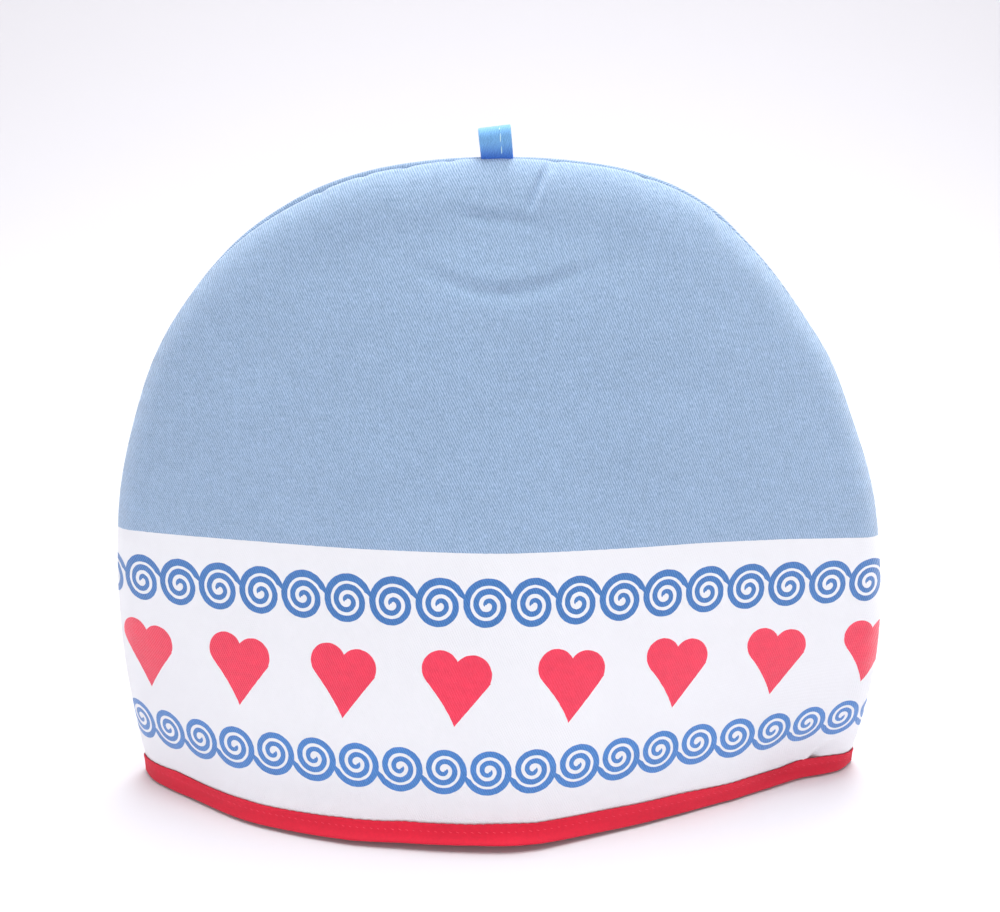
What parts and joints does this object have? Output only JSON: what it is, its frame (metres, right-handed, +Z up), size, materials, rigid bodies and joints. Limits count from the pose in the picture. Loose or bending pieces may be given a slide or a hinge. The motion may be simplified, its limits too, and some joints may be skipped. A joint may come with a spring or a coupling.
{
  "type": "tea cosy",
  "caption": "Padded cloth tea cosy, open at the bottom: two dome-shaped panels seamed round the edge, a bound hem and a small tape loop at the top.",
  "frame": {"origin": "under the middle of the open hem, on the surface that the cosy stands on", "axes": "+X along the cosy's width, from its left to its right seen from the front; +Y from the front panel to the back panel; +Z up to the loop"},
  "size_m": [0.326, 0.1009, 0.2824],
  "materials": {
    "printed_cotton": "matte twill",
    "red_binding": "matte",
    "blue_tape": "matte twill"
  },
  "bodies": {
    "root": {"front_panel": "printed_cotton", "back_panel": "printed_cotton", "hem_binding": "red_binding", "hanging_loop": "blue_tape"}
  },
  "joints": []
}
